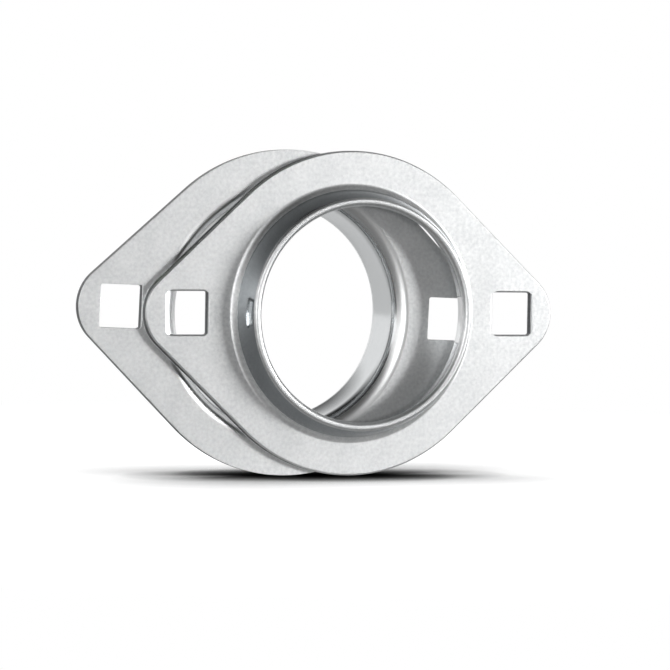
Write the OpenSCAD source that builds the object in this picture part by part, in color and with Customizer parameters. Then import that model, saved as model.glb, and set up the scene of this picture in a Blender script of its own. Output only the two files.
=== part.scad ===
// Two-bolt flanged bearing housing, pressed from sheet steel.
// The housing is two identical pressings: a flange with a square bolt hole at each end,
// and a drawn collar whose inner side is half of the spherical seat for an insert bearing.
// Frame: the origin is the centre of the front half's seat, on the face where the halves meet.
// X runs through its bolt holes, Y along the bore axis to the rear, Z up.

/* [Flange] */
// Height of the flange, across its round middle
flange_h = 71; // [68:1:80]
// Distance between the centres of the two bolt holes
hole_spacing = 76; // [73:0.5:84]
// Radius of the round tip about each bolt hole
tip_r = 9.5; // [8.5:0.1:12]
// Thickness of the sheet
sheet_t = 2.4; // [1.8:0.1:3]
// Radius of the edges that the punch rolled over, on the collar's side
edge_round = 0.4; // [0.2:0.05:0.7]

/* [Bolt holes] */
// Width of each square bolt hole
hole_w = 9.4; // [8.5:0.1:10.5]
// Radius in the corners of the bolt holes
hole_corner_r = 0.5; // [0.3:0.1:1.5]

/* [Bearing seat] */
// Diameter of the ball-shaped outside of the bearing that the seat holds
bearing_d = 50; // [48:0.5:52]
// Distance from the meeting face to the collar's rim
half_depth = 9.6; // [8.5:0.1:11.5]
// Radius of the bend from the meeting face into the seat
mouth_bend = 3.9; // [2.5:0.1:4.5]

/* [Collar] */
// Wall of the collar where it leaves the flange
base_wall = 2.4; // [2.2:0.05:2.8]
// Wall of the collar at its rim, where the draw has thinned it
rim_wall = 2.1; // [2:0.05:2.4]
// Radius of the hollow between the flange and the collar
base_fillet = 1.5; // [0.8:0.1:2]
// Radius of the rim's outer edge
rim_outer_round = 0.7; // [0.3:0.05:0.8]
// Radius of the rim's inner edge
rim_inner_round = 0.9; // [0.4:0.05:1]

/* [Halves as they stand] */
// How far the rear half has slipped to the left; at 0 the bores and bolt holes line up
slip = 14.3; // [0:0.1:20]
// How far the rear half has turned about its own bore axis, in degrees; at 0 it is level
turn = 2; // [0:0.1:5]

/* [Hidden] */
$fn = 144;
zinc = [0.80, 0.81, 0.82];
// Spare length of a cutting shape past the face that it cuts
over = 1;
// The straight sides stand this little proud of the round ends, a step too small to see
proud = 0.01;
flange_r = flange_h / 2;
hole_x = hole_spacing / 2;
seat_r = bearing_d / 2;
// Angle from the upright to the radius that meets a straight side of the outline
side_angle = asin((flange_r - tip_r) / hole_x);
side_len = hole_x * cos(side_angle);

// The collar's outside is an arc about a point on the bore axis. It passes through the base of
// the collar, at the flange's outer face, and the rim, each one wall outside the seat.
base_r = sqrt(seat_r * seat_r - sheet_t * sheet_t) + base_wall;
rim_r = sqrt(seat_r * seat_r - half_depth * half_depth) + rim_wall;
outer_z = (rim_r * rim_r + half_depth * half_depth - base_r * base_r - sheet_t * sheet_t)
    / (2 * (half_depth - sheet_t));
outer_r = norm([base_r, sheet_t - outer_z]);

// Centres of the section's rounds, as [distance from the axis, height over the meeting face]
bend_c = [sqrt(pow(seat_r + mouth_bend, 2) - mouth_bend * mouth_bend), mouth_bend];
fillet_z = sheet_t + base_fillet;
fillet_c = [sqrt(pow(outer_r + base_fillet, 2) - pow(fillet_z - outer_z, 2)), fillet_z];
rim_out_z = half_depth - rim_outer_round;
rim_out_c = [sqrt(pow(outer_r - rim_outer_round, 2) - pow(rim_out_z - outer_z, 2)), rim_out_z];
rim_in_z = half_depth - rim_inner_round;
rim_in_c = [sqrt(pow(seat_r + rim_inner_round, 2) - rim_in_z * rim_in_z), rim_in_z];

// Points where those rounds run into the seat's arc and the outer arc
bend_end = bend_c * seat_r / (seat_r + mouth_bend);
rim_in_end = rim_in_c * seat_r / (seat_r + rim_inner_round);
axis_point = [0, outer_z];
fillet_end = axis_point + (fillet_c - axis_point) * outer_r / (outer_r + base_fillet);
rim_out_end = axis_point + (rim_out_c - axis_point) * outer_r / (outer_r - rim_outer_round);
// Outside of this radius the flange is flat on both faces
flat_r = max(bend_c[0], fillet_c[0]) + over / 2;

// Section of a slab from the axis to radius r, its upper outer edge rounded
module rounded_slab(r) {
    square([r, sheet_t - edge_round]);
    square([r - edge_round, sheet_t]);
    translate([r - edge_round, sheet_t - edge_round])
        circle(edge_round);
}

// Strip along one straight side of the outline, from a round edge inwards by the tip's radius
module side_strip() {
    rotate([0, 0, -side_angle])
        translate([0, flange_r - tip_r + proud, 0])
            rotate([90, 0, 90])
                linear_extrude(side_len)
                    rounded_slab(tip_r);
}

// The flange before its bore and bolt holes: round middle, round tips and the sides between
module flange_blank() {
    rotate_extrude()
        rounded_slab(flange_r);
    for (side = [0, 1])
        mirror([side, 0, 0]) {
            translate([hole_x, 0, 0])
                rotate_extrude()
                    rounded_slab(tip_r);
            side_strip();
            mirror([0, 1, 0])
                side_strip();
            linear_extrude(sheet_t)
                flange_core();
        }
}

// The part of one wing's plan that its discs and strips leave open
module flange_core() {
    inner = (flange_r - tip_r / 2) * [sin(side_angle), cos(side_angle)];
    outer = [hole_x, 0] + tip_r / 2 * [sin(side_angle), cos(side_angle)];
    polygon([[0, 0], [inner[0], -inner[1]], [outer[0], -outer[1]], [hole_x, 0], outer, inner]);
}

// Square bolt hole with round corners, its edge rolled over where the punch entered
module bolt_hole() {
    flat = hole_w / 2 - hole_corner_r;
    translate([0, 0, -over])
        linear_extrude(sheet_t + 2 * over) {
            square([hole_w, 2 * flat], center = true);
            square([2 * flat, hole_w], center = true);
            for (x = [-flat, flat], y = [-flat, flat])
                translate([x, y])
                    circle(hole_corner_r);
        }
    for (x = [-flat, flat], y = [-flat, flat])
        translate([x, y, 0])
            rotate_extrude()
                translate([hole_corner_r, 0])
                    rolled_edge();
    for (quarter = [0:90:270])
        rotate([0, 0, quarter])
            translate([hole_w / 2, flat, 0])
                rotate([90, 0, 0])
                    linear_extrude(2 * flat)
                        rolled_edge();
}

// Section cut away to roll over the edge of a hole whose wall stands at 0
module rolled_edge() {
    difference() {
        translate([0, sheet_t - edge_round])
            square([edge_round, edge_round + over]);
        translate([edge_round, sheet_t - edge_round])
            circle(edge_round);
    }
}

// Section of the sheet from the flat of the flange up to the collar's rim
module collar_section() {
    difference() {
        union() {
            intersection() {
                translate(axis_point)
                    circle(outer_r);
                square([outer_r, half_depth]);
            }
            square([flat_r + over, sheet_t]);
            difference() {
                polygon([[seat_r, 0], [fillet_c[0], 0], fillet_c, fillet_end]);
                translate(fillet_c)
                    circle(base_fillet);
            }
        }
        circle(seat_r);
        difference() {
            polygon([[0, -over], [bend_c[0], -over], bend_c, bend_end, [0, bend_end[1]]]);
            translate(bend_c)
                circle(mouth_bend);
        }
        rim_corner(rim_out_c, rim_out_end, outer_r + over, rim_outer_round);
        rim_corner(rim_in_c, rim_in_end, 0, rim_inner_round);
    }
}

// Corner of the rim outside its round, from the round's end on a wall out to radius r
module rim_corner(centre, end, r, round_r) {
    top = half_depth + over;
    difference() {
        polygon([centre, end, [r, end[1]], [r, top], [centre[0], top]]);
        translate(centre)
            circle(round_r);
    }
}

// One pressing, its meeting face at Z 0 and its collar rising along Z
module half() {
    difference() {
        flange_blank();
        translate([0, 0, -over])
            cylinder(h = sheet_t + 2 * over, r = flat_r);
        for (x = [-hole_x, hole_x])
            translate([x, 0, 0])
                bolt_hole();
    }
    rotate_extrude()
        collar_section();
}

// The half whose collar faces the viewer
module front_half() {
    color(zinc)
        rotate([90, 0, 0])
            half();
}

// The same pressing turned round, meeting the front half face to face
module rear_half() {
    color(zinc)
        translate([-slip, 0, 0])
            rotate([0, turn, 0])
                rotate([-90, 0, 0])
                    half();
}

front_half();
rear_half();
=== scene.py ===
import math

import bpy
import numpy as np
from mathutils import Matrix, Vector
from mathutils.geometry import delaunay_2d_cdt


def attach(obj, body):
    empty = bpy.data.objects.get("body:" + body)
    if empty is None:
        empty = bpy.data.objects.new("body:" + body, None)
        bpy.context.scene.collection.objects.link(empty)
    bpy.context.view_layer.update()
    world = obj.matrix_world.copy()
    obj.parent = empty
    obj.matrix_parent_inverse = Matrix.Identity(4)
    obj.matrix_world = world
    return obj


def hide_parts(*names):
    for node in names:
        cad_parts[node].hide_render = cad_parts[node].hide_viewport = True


# Two identical pressings of a two-bolt flanged bearing housing, zinc-plated pressed steel.
# Each half is one closed surface: bands carried along the outline, the bore and the bolt holes,
# with the flat faces filled between them. Lengths are millimetres here, metres in the meshes.

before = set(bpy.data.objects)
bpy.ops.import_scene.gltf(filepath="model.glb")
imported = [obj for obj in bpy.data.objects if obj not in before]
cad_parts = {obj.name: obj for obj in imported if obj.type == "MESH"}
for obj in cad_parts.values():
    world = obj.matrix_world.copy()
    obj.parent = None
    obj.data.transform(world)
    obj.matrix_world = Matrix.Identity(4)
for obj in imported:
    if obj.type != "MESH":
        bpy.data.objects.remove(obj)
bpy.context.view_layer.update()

MM = 0.001

# Sizes of one half, as the CAD source has them
FLANGE_R, TIP_R, HOLE_X, SHEET = 35.5, 9.5, 38.0, 2.4
EDGE_ROUND = 0.4          # edge that the punch rolled over, on the collar's side
EDGE_CRISP = 0.07         # edge on the meeting side, barely broken
HOLE_W, HOLE_CORNER = 9.4, 0.5
SEAT_R, HALF_DEPTH, MOUTH_BEND = 25.0, 9.6, 3.9
BASE_WALL, RIM_WALL = 2.4, 2.1
BASE_FILLET, RIM_OUTER, RIM_INNER = 1.5, 0.7, 0.9

# How the rear half stands: slipped to the left, and turned about its own bore axis
SLIP, TURN = 14.3, 2.0
FLOOR_Z = -FLANGE_R * MM

ROUND_STEPS = 300         # points round the bore
SIDE_SLOPE = math.asin((FLANGE_R - TIP_R) / HOLE_X)

# Kinds of surface, for the finish: rolled sheet, bend into the mouth, seat sized by the punch,
# outside ironed by the die, rounded edge, sheared wall
SHEET_FACE, MOUTH, SEAT, IRONED, EDGE, SHEARED = 0.0, 0.2, 0.4, 0.6, 0.8, 1.0
ROUGHNESS = (0.40, 0.32, 0.15, 0.13, 0.38, 0.36)

# The paper: how much lighter the camera sees it than it is lit, and how light the metal sees it
# in front of the part and behind
FLOOR_GAIN = 1.35
DIM_FLOOR, BRIGHT_FLOOR = 0.16, 0.7
# The part's shades on the paper, each with its reach in metres and how fast it darkens: one
# tight under the sheet's edge, and one faint round about it
SHADES = ((0.016, 4.0), (0.05, 2.0))


# Plan loops and section


def arc(centre, radius, start, end, steps):
    """Points and directions on an arc: centre plus radius times (cos a, sin a), a in degrees."""
    a = np.radians(np.linspace(start, end, steps + 1))
    d = np.column_stack([np.cos(a), np.sin(a)])
    return np.asarray(centre) + radius * d, d


def outline_loop():
    """Closed plan of the flange as (points, outward directions): the round middle's top and
    bottom arcs, the two tips' arcs, and straight sides that run from one tangent point to the
    next. Each side is split evenly, so that the bands along it stay near square."""
    slope = math.degrees(SIDE_SLOPE)
    spans = [((HOLE_X, 0), TIP_R, slope - 90, 90 - slope, 60),
             ((0, 0), FLANGE_R, 90 - slope, 90 + slope, 140),
             ((-HOLE_X, 0), TIP_R, 90 + slope, 270 - slope, 60),
             ((0, 0), FLANGE_R, 270 - slope, 270 + slope, 140)]
    points, outward = [], []
    arcs = [arc(*s) for s in spans]
    for i, (p, d) in enumerate(arcs):
        after = arcs[(i + 1) % 4][0][0]
        t = np.linspace(0, 1, 30)[1:-1, None]
        points += [p, p[-1] + t * (after - p[-1])]
        outward += [d, np.repeat(d[-1:], len(t), 0)]
    return np.vstack(points), np.vstack(outward)


def hole_loop(x):
    """Closed plan of the square bolt hole at x as (points, directions into the hole): four
    corner arcs of the corner radius, joined by straight walls."""
    flat = HOLE_W / 2 - HOLE_CORNER
    points, outward = [], []
    for i, (sx, sy) in enumerate(((1, 1), (-1, 1), (-1, -1), (1, -1))):
        p, d = arc((x + sx * flat, sy * flat), HOLE_CORNER, 90 * i, 90 * i + 90, 10)
        points.append(p)
        outward.append(d)
        end = math.radians(90 * i + 90)
        along = np.array([-math.sin(end), math.cos(end)])
        t = np.linspace(0, 1, 16)[1:-1, None]
        points.append(p[-1] + t * 2 * flat * along)
        outward.append(np.repeat(d[-1:], len(t), 0))
    return np.vstack(points), -np.vstack(outward)


def edge_section():
    """Section of the sheet's edge as rows (distance in from the wall, height, outward part and
    upward part of the normal, kind): down from the collar side's rolled edge, over the sheared
    wall, to the crisp edge of the meeting side."""
    rows = []
    for a in np.linspace(90, 0, 9):
        c, s = math.cos(math.radians(a)), math.sin(math.radians(a))
        rows.append((EDGE_ROUND * (1 - c), SHEET - EDGE_ROUND * (1 - s), c, s, EDGE))
    for z in np.linspace(SHEET - EDGE_ROUND, EDGE_CRISP, 10)[1:-1]:
        rows.append((0, z, 1, 0, SHEARED))
    for a in np.linspace(0, -90, 4):
        c, s = math.cos(math.radians(a)), math.sin(math.radians(a))
        rows.append((EDGE_CRISP * (1 - c), EDGE_CRISP * (1 + s), c, s, EDGE))
    return rows


def collar_section():
    """Section of the drawn collar as rows (radius, height, normal's two parts, kind), from the
    flat of the meeting face to the flat of the collar's side. It is a chain of tangent arcs: the
    mouth's bend, the ball seat about the origin, the rim's inner round, the rim's flat, its
    outer round, the outside as an arc about a point on the axis, and the hollow at the base."""
    base_r = math.sqrt(SEAT_R ** 2 - SHEET ** 2) + BASE_WALL
    rim_r = math.sqrt(SEAT_R ** 2 - HALF_DEPTH ** 2) + RIM_WALL
    centre_z = ((rim_r ** 2 + HALF_DEPTH ** 2 - base_r ** 2 - SHEET ** 2)
                / (2 * (HALF_DEPTH - SHEET)))
    outer_r = math.hypot(base_r, SHEET - centre_z)

    bend = (math.sqrt((SEAT_R + MOUTH_BEND) ** 2 - MOUTH_BEND ** 2), MOUTH_BEND)
    z = SHEET + BASE_FILLET
    fillet = (math.sqrt((outer_r + BASE_FILLET) ** 2 - (z - centre_z) ** 2), z)
    z = HALF_DEPTH - RIM_OUTER
    rim_out = (math.sqrt((outer_r - RIM_OUTER) ** 2 - (z - centre_z) ** 2), z)
    z = HALF_DEPTH - RIM_INNER
    rim_in = (math.sqrt((SEAT_R + RIM_INNER) ** 2 - z ** 2), z)

    def bearing(point, about=0.0):
        return math.degrees(math.atan2(point[1] - about, point[0]))

    halfway = 225 + bearing(bend) / 2
    chain = [(bend, MOUTH_BEND, 270, halfway, 13, 1, MOUTH),
             (bend, MOUTH_BEND, halfway, 180 + bearing(bend), 13, 1, SEAT),
             ((0, 0), SEAT_R, bearing(bend), bearing(rim_in), 24, -1, SEAT),
             (rim_in, RIM_INNER, 180 + bearing(rim_in), 90, 8, 1, EDGE),
             (rim_out, RIM_OUTER, 90, bearing(rim_out, centre_z), 14, 1, EDGE),
             ((0, centre_z), outer_r, bearing(rim_out, centre_z), bearing(fillet, centre_z),
              22, 1, IRONED),
             (fillet, BASE_FILLET, 180 + bearing(fillet, centre_z), 270, 20, -1, SHEET_FACE)]
    rows = []
    for centre, radius, start, end, steps, side, kind in chain:
        p, d = arc(centre, radius, start, end, steps)
        for (r, h), (nr, nh) in zip(p, side * d):
            if rows and math.hypot(rows[-1][0] - r, rows[-1][1] - h) < 1e-6:
                continue
            rows.append((r, h, nr, nh, kind))
    return rows


# One half as one surface


class Surface:
    """Points with their own normals, and faces between rings of them, each of one kind."""

    def __init__(self):
        self.points, self.normals, self.count = [], [], 0
        self.faces, self.kinds, self.curved = [], [], []

    def ring(self, points, normals):
        self.points.append(points)
        self.normals.append(normals)
        self.count += len(points)
        return np.arange(self.count - len(points), self.count)

    def band(self, a, b, kind):
        """Quads between two closed rings of as many points."""
        self.faces += [tuple(f) for f in np.column_stack([a, np.roll(a, -1), np.roll(b, -1), b])]
        self.kinds += [kind] * len(a)
        self.curved += [True] * len(a)

    def fill(self, rings, inside):
        """Triangles between closed rings that lie in one plane. Where a triangle's middle
        isn't in the sheet, by inside(x, y), it is left out."""
        index = np.concatenate(rings)
        plan = np.vstack(self.points)[index][:, :2]
        edges, start = [], 0
        for r in rings:
            n = len(r)
            edges += [(start + i, start + (i + 1) % n) for i in range(n)]
            start += n
        made = delaunay_2d_cdt([Vector(p) for p in plan], edges, [], 0, 1e-7)
        source = [o[0] for o in made[3]]
        for face in made[2]:
            corners = [source[i] for i in face]
            if inside(*plan[corners].mean(0)):
                self.faces.append(tuple(index[corners]))
                self.kinds.append(SHEET_FACE)
                self.curved.append(False)


def edge_rings(surface, loop):
    """Carries the edge section along a plan loop, and gives its rings from top to bottom."""
    points, outward = loop
    rings = []
    for inset, z, out, up, kind in edge_section():
        at = points - inset * outward
        rings.append(surface.ring(
            np.column_stack([at, np.full(len(at), z)]),
            np.column_stack([out * outward, np.full(len(at), up)])))
        if len(rings) > 1:
            surface.band(*rings[-2:], kind)
    return rings


def collar_rings(surface):
    """Turns the collar's section about the bore axis, and gives its rings."""
    a = np.linspace(0, 2 * math.pi, ROUND_STEPS, endpoint=False)
    c, s = np.cos(a), np.sin(a)
    rings = []
    for r, h, nr, nh, kind in collar_section():
        rings.append(surface.ring(
            np.column_stack([r * c, r * s, np.full(len(a), h)]),
            np.column_stack([nr * c, nr * s, np.full(len(a), nh)])))
        if len(rings) > 1:
            surface.band(*rings[-2:], kind)
    return rings


def in_sheet(bore_r):
    """Tells whether a plan point lies in the flange, outside the bore's radius, outside the
    bolt holes, and within the outline. The outline's middle and tips are discs, and a side is
    the line at the middle's radius along its own normal."""
    nx, ny = math.sin(SIDE_SLOPE), math.cos(SIDE_SLOPE)
    half_hole = HOLE_W / 2

    def inside(x, y):
        x, y = abs(x), abs(y)
        along = x * ny - y * nx
        if along < 0:
            edge = math.hypot(x, y) - FLANGE_R
        elif along > HOLE_X * ny:
            edge = math.hypot(x - HOLE_X, y) - TIP_R
        else:
            edge = x * nx + y * ny - FLANGE_R
        in_hole = max(abs(x - HOLE_X), y) < half_hole
        return edge < -1e-6 and math.hypot(x, y) > bore_r and not in_hole

    return inside


def half_surface():
    """One pressing: its meeting face at height 0 and its collar rising to the half depth."""
    s = Surface()
    loops = (outline_loop(), hole_loop(HOLE_X), hole_loop(-HOLE_X))
    edges = [edge_rings(s, loop) for loop in loops]
    collar = collar_rings(s)
    section = collar_section()
    for ring, up, bore in ((0, 1, collar[-1]), (-1, -1, collar[0])):
        rows = [e[ring] for e in edges] + [bore]
        s.fill(rows, in_sheet(section[-1 if up > 0 else 0][0]))
    return s


def make_half(name, turn, node, body, material):
    """Builds a half in place: turn is the 4x4 matrix from its own millimetres to the row. Each
    face is wound so that it looks the way its points' normals do."""
    s = half_surface()
    points, normals = np.vstack(s.points), np.vstack(s.normals)
    m = np.array(turn)
    points = (points @ m[:3, :3].T + m[:3, 3]) * MM
    normals = normals @ m[:3, :3].T
    faces = []
    for f in s.faces:
        p = points[list(f)]
        facing = sum(np.cross(p[i] - p[0], p[i + 1] - p[0]) for i in range(1, len(f) - 1))
        faces.append(f if facing @ normals[list(f)].sum(0) > 0 else f[::-1])
    mesh = bpy.data.meshes.new(name)
    mesh.from_pydata(points.tolist(), [], [list(map(int, f)) for f in faces])
    mesh.polygons.foreach_set("use_smooth", s.curved)
    mesh.attributes.new("kind", "FLOAT", "FACE").data.foreach_set("value", s.kinds)
    mesh.materials.append(material)
    mesh.validate()
    half = bpy.data.objects.new(name, mesh)
    bpy.context.scene.collection.objects.link(half)
    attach(half, body)
    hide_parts(node)


# Materials


def linear(hex_colour):
    """sRGB hex to linear RGBA."""
    c = [int(hex_colour[i:i + 2], 16) / 255 for i in (1, 3, 5)]
    return [x / 12.92 if x <= 0.04045 else ((x + 0.055) / 1.055) ** 2.4 for x in c] + [1.0]


def add(tree, kind, links=(), inputs=(), **settings):
    """Adds a node: settings are its properties, inputs its socket values, links its sockets'
    sources."""
    node = tree.nodes.new(kind)
    for key, value in settings.items():
        setattr(node, key, value)
    for key, value in dict(inputs).items():
        node.inputs[key].default_value = value
    for key, source in dict(links).items():
        tree.links.new(source, node.inputs[key])
    return node


def new_tree(owner):
    """The emptied node tree of a material or world."""
    owner.use_nodes = True
    owner.node_tree.nodes.clear()
    return owner.node_tree


def maths(tree, operation, first, *others):
    """Math nodes that combine values one after another. Each is a socket or a number."""
    for other in others:
        node = add(tree, "ShaderNodeMath", operation=operation)
        for socket, value in zip(node.inputs, (first, other)):
            if isinstance(value, (int, float)):
                socket.default_value = value
            else:
                tree.links.new(value, socket)
        first = node.outputs[0]
    return first


def ramp(tree, socket, start, end, low=0.0, high=1.0):
    """From low at start to high at end, and level beyond them."""
    ends = {"From Min": start, "From Max": end, "To Min": low, "To Max": high}
    return add(tree, "ShaderNodeMapRange", {"Value": socket}, ends).outputs["Result"]


def zinc_plated_steel():
    """Cold-rolled steel sheet, pressed, then bright zinc plated: a pale, faintly blue metal with
    a satin face. The plate grows in fine grains, so the flats carry a fine mottle. The seat and
    the ironed outside of the collar are nearly mirrors, the bend into the mouth is between the
    two. The bend into the mouth carries a painted highlight and the outside painted shade. The
    sheared walls are painted near black as painted shade, with streaks across the sheet."""
    material = bpy.data.materials.new("zinc_plated_steel")
    tree = new_tree(material)
    coords = add(tree, "ShaderNodeTexCoord").outputs["Object"]
    kind = add(tree, "ShaderNodeAttribute", attribute_name="kind").outputs["Fac"]

    def noise(size, detail, vector=coords):
        return add(tree, "ShaderNodeTexNoise", {"Vector": vector},
                   {"Scale": 1 / size, "Detail": detail, "Roughness": 0.55}).outputs["Fac"]

    def by_kind(*values):
        """A value for each kind of surface, in the order of ROUGHNESS."""
        node = add(tree, "ShaderNodeValToRGB", {"Fac": kind})
        node.color_ramp.interpolation = "CONSTANT"
        stops = node.color_ramp.elements
        while len(stops) < len(values):
            stops.new(1.0)
        for i, (stop, value) in enumerate(zip(stops, values)):
            stop.position = max(0, i - 0.5) / (len(values) - 1)
            stop.color = (value, value, value, 1)
        return node.outputs["Color"]

    def colours(factor, first, last):
        """From the first colour to the last as the factor goes from 0 to 1."""
        node = add(tree, "ShaderNodeValToRGB", {"Fac": factor})
        for stop, colour in zip(node.color_ramp.elements, (first, last)):
            stop.color = linear(colour)
        return node.outputs["Color"]

    # Grains and faint clouds of 6 mm tell the eye that it is plated sheet. The real grains are
    # nearer 0.2 mm, too fine for the picture, and are drawn at 0.8 mm
    grain = noise(0.0008, 3.0)
    cloud = noise(0.006, 2.0)
    tone = maths(tree, "ADD", grain, maths(tree, "MULTIPLY", cloud, 0.4))
    # Streaks 0.25 mm wide run across the sheared walls, along Y, as a punch leaves them
    across = add(tree, "ShaderNodeVectorMath", {0: coords}, {1: (1, 0.08, 1)},
                 operation="MULTIPLY").outputs["Vector"]
    streak = noise(0.00025, 2.0, across)

    # How light the plate is: the flats and edges mottled, the mouth pale as a painted highlight
    # on its bend, the outside darkest as painted shade that deepens its dark reflections
    base = by_kind(0.65, 0.9, 0.5, 0.0, 0.65, 0.0)
    spread = by_kind(0.35, 0.1, 0.04, 0.04, 0.23, 0.0)
    mottle = ramp(tree, tone, 0.5, 0.9)
    level = maths(tree, "ADD", base, maths(tree, "MULTIPLY", mottle, spread))
    plate = colours(level, "#a9adb0", "#f9fafa")
    # The sheared walls are painted near black: painted shade on the cut edges, with the punch's
    # streaks across them
    sheared_shade = colours(streak, "#1e2022", "#5c5f62")
    colour = add(tree, "ShaderNodeMix", {"Factor": by_kind(0, 0, 0, 0, 0, 1), 6: plate, 7: sheared_shade},
                 data_type="RGBA").outputs[2]

    uneven = maths(tree, "MULTIPLY", maths(tree, "SUBTRACT", 0.6, grain),
                   by_kind(0.2, 0.1, 0.06, 0.06, 0.1, 0.2))
    rough = maths(tree, "ADD", by_kind(*ROUGHNESS), uneven)
    depth = by_kind(0.22, 0.1, 0.03, 0.03, 0.1, 0.3)
    bump = add(tree, "ShaderNodeBump", {"Height": grain, "Strength": depth},
               {"Distance": 0.00003}).outputs["Normal"]
    shader = add(tree, "ShaderNodeBsdfPrincipled",
                 {"Base Color": colour, "Roughness": rough, "Normal": bump}, {"Metallic": 1.0})
    add(tree, "ShaderNodeOutputMaterial", {"Surface": shader.outputs[0]})
    return material


def white_paper():
    """The matt white sweep that the part stands on. It keeps the part's soft shadow, deepest
    where the sheet touches it, and runs out to the plain white of the background. The metal sees
    it white behind the part and dim in front, where the room's light falls off."""
    material = bpy.data.materials.new("white_paper")
    tree = new_tree(material)
    place = add(tree, "ShaderNodeTexCoord").outputs["Object"]
    away = add(tree, "ShaderNodeVectorMath", {0: place}, operation="LENGTH").outputs["Value"]
    path = add(tree, "ShaderNodeLightPath")
    camera_ray = path.outputs["Is Camera Ray"]

    # What the camera sees: the shaded paper near the part, plain white from 9 to 25 cm on
    shades = []
    for reach, power in SHADES:
        open_sky = add(tree, "ShaderNodeAmbientOcclusion", inputs={"Distance": reach}, samples=16)
        shades.append(maths(tree, "POWER", open_sky.outputs["AO"], power))
    lit = maths(tree, "MULTIPLY", *shades, FLOOR_GAIN)
    shown = add(tree, "ShaderNodeCombineColor", {"Red": lit, "Green": lit, "Blue": lit})
    colour = add(tree, "ShaderNodeMix", {"Factor": camera_ray, 7: shown.outputs["Color"]},
                 {6: linear("#f4f4f4")}, data_type="RGBA")
    matt = add(tree, "ShaderNodeBsdfDiffuse", {"Color": colour.outputs[2]})
    white = add(tree, "ShaderNodeEmission", inputs={"Color": linear("#ffffff")})
    far = maths(tree, "MULTIPLY", ramp(tree, away, 0.09, 0.25), camera_ray)
    both = add(tree, "ShaderNodeMixShader", {0: far, 1: matt.outputs[0], 2: white.outputs[0]})

    # What the metal sees
    depth = add(tree, "ShaderNodeSeparateXYZ", {"Vector": place}).outputs["Y"]
    fall = ramp(tree, depth, -0.03, 0.06, DIM_FLOOR, BRIGHT_FLOOR)
    mirrored = add(tree, "ShaderNodeEmission", {"Strength": fall}, {"Color": linear("#ffffff")})
    surface = add(tree, "ShaderNodeMixShader", {0: path.outputs["Is Glossy Ray"],
                                                1: both.outputs[0], 2: mirrored.outputs[0]})
    add(tree, "ShaderNodeOutputMaterial", {"Surface": surface.outputs[0]})
    return material


# The object

zinc = zinc_plated_steel()
front_turn = Matrix.Rotation(math.radians(90), 4, "X")
rear_turn = (Matrix.Translation((-SLIP, 0, 0)) @ Matrix.Rotation(math.radians(TURN), 4, "Y")
             @ Matrix.Rotation(math.radians(-90), 4, "X"))
make_half("front_half_pressing", front_turn, "front_half", "front", zinc)
make_half("rear_half_pressing", rear_turn, "rear_half", "rear", zinc)

# Floor, light and camera

FLOOR_HALF = 6            # half the paper's width, in metres
corners = [(x * FLOOR_HALF, y * FLOOR_HALF, FLOOR_Z)
           for x, y in ((-1, -1), (1, -1), (1, 1), (-1, 1))]
floor_mesh = bpy.data.meshes.new("paper_sweep")
floor_mesh.from_pydata(corners, [], [(0, 1, 2, 3)])
floor_mesh.materials.append(white_paper())
floor = bpy.data.objects.new("paper_sweep", floor_mesh)
bpy.context.scene.collection.objects.link(floor)


def softbox(name, direction, distance, width, height, power):
    """A rectangular lamp in that direction from the part, facing it."""
    lamp = bpy.data.lights.new(name, "AREA")
    lamp.shape, lamp.size, lamp.size_y, lamp.energy = "RECTANGLE", width, height, power
    holder = bpy.data.objects.new(name, lamp)
    d = Vector(direction).normalized()
    holder.location = d * distance
    holder.rotation_euler = d.to_track_quat("Z", "Y").to_euler()
    bpy.context.scene.collection.objects.link(holder)


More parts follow.
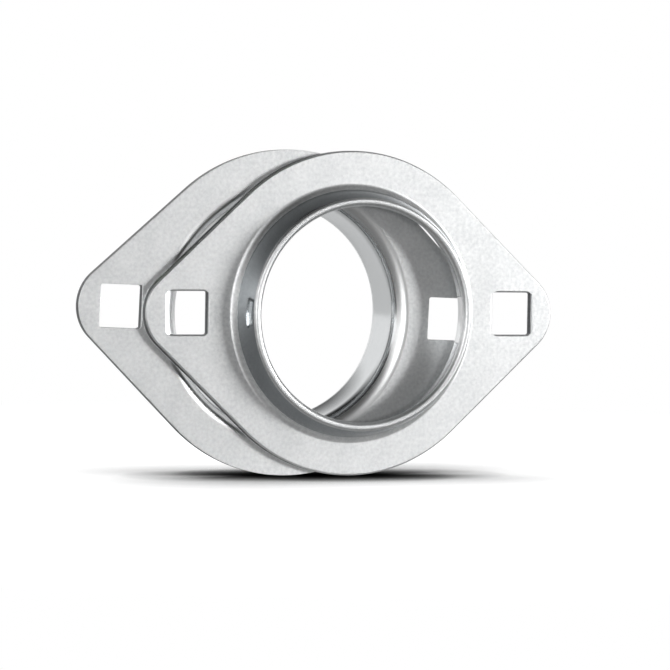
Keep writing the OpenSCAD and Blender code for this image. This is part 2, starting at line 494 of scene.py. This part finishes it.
def studio_world():
    """The room. The paper has even white light from it. The metal sees the white sweep behind
    the part, up to two thirds of the way to the zenith, a white card to the left in front, and
    else a dim room, a little lighter to the right."""
    world = bpy.data.worlds.new("studio")
    tree = new_tree(world)
    path = add(tree, "ShaderNodeLightPath").outputs
    facing = add(tree, "ShaderNodeTexCoord").outputs["Generated"]
    direction = add(tree, "ShaderNodeSeparateXYZ", {"Vector": facing})
    across, depth, height = (direction.outputs[k] for k in "XYZ")
    tilt = add(tree, "ShaderNodeMath", {0: height}, operation="ABSOLUTE").outputs[0]
    sweep = maths(tree, "MULTIPLY", ramp(tree, depth, -0.1, 0.3), ramp(tree, height, 0.85, 0.5))
    card = maths(tree, "MULTIPLY", ramp(tree, across, 0.02, -0.12),
                 ramp(tree, depth, 0.05, -0.15), ramp(tree, tilt, 0.4, 0.25, 0.0, 1.4))
    dim = ramp(tree, across, -0.2, 0.5, 0.03, 0.2)
    level = maths(tree, "MAXIMUM", sweep, card, dim, path["Is Diffuse Ray"],
                  path["Is Camera Ray"])
    sky = add(tree, "ShaderNodeBackground", {"Strength": level}, {"Color": linear("#ffffff")})
    add(tree, "ShaderNodeOutputWorld", {"Surface": sky.outputs[0]})
    return world


# The key stands 45 degrees to the right, and the left one fills the far side of the flange
softbox("key_softbox", (0.71, -0.70, 0.04), distance=3.0, width=1.3, height=0.7, power=46.0)
softbox("left_softbox", (-0.22, -0.98, -0.02), distance=2.6, width=0.8, height=0.5, power=16.0)
bpy.context.scene.world = studio_world()

# The camera as measured from the photograph: it looks at the centre of the front half's bore
AZIMUTH, ELEVATION, ROLL = -21.313, 2.105, 0.98
DISTANCE, FOCAL_PX, IMAGE_PX = 0.850, 3889.6, 670
CENTRE_PX = (352.441, 313.356)
SENSOR_MM = 36
a, e, r = (math.radians(x) for x in (AZIMUTH, ELEVATION, ROLL))
backward = Vector((math.sin(a) * math.cos(e), -math.cos(a) * math.cos(e), math.sin(e)))
level_right = Vector((math.cos(a), math.sin(a), 0))
level_up = level_right.cross(-backward)
right = level_right * math.cos(r) + level_up * math.sin(r)
up = level_up * math.cos(r) - level_right * math.sin(r)
lens = bpy.data.cameras.new("camera")
lens.sensor_width = SENSOR_MM
lens.lens = SENSOR_MM * FOCAL_PX / IMAGE_PX
lens.shift_x = (IMAGE_PX / 2 - CENTRE_PX[0]) / IMAGE_PX
lens.shift_y = (CENTRE_PX[1] - IMAGE_PX / 2) / IMAGE_PX
lens.clip_start, lens.clip_end = 0.05, 50
camera = bpy.data.objects.new("camera", lens)
turned = Matrix((right, up, backward)).transposed().to_4x4()
looked_at = Vector((0, -SHEET * MM, 0))
camera.matrix_world = Matrix.Translation(looked_at + backward * DISTANCE) @ turned
bpy.context.scene.collection.objects.link(camera)
bpy.context.scene.camera = camera
bpy.context.scene.view_settings.view_transform = "Standard"
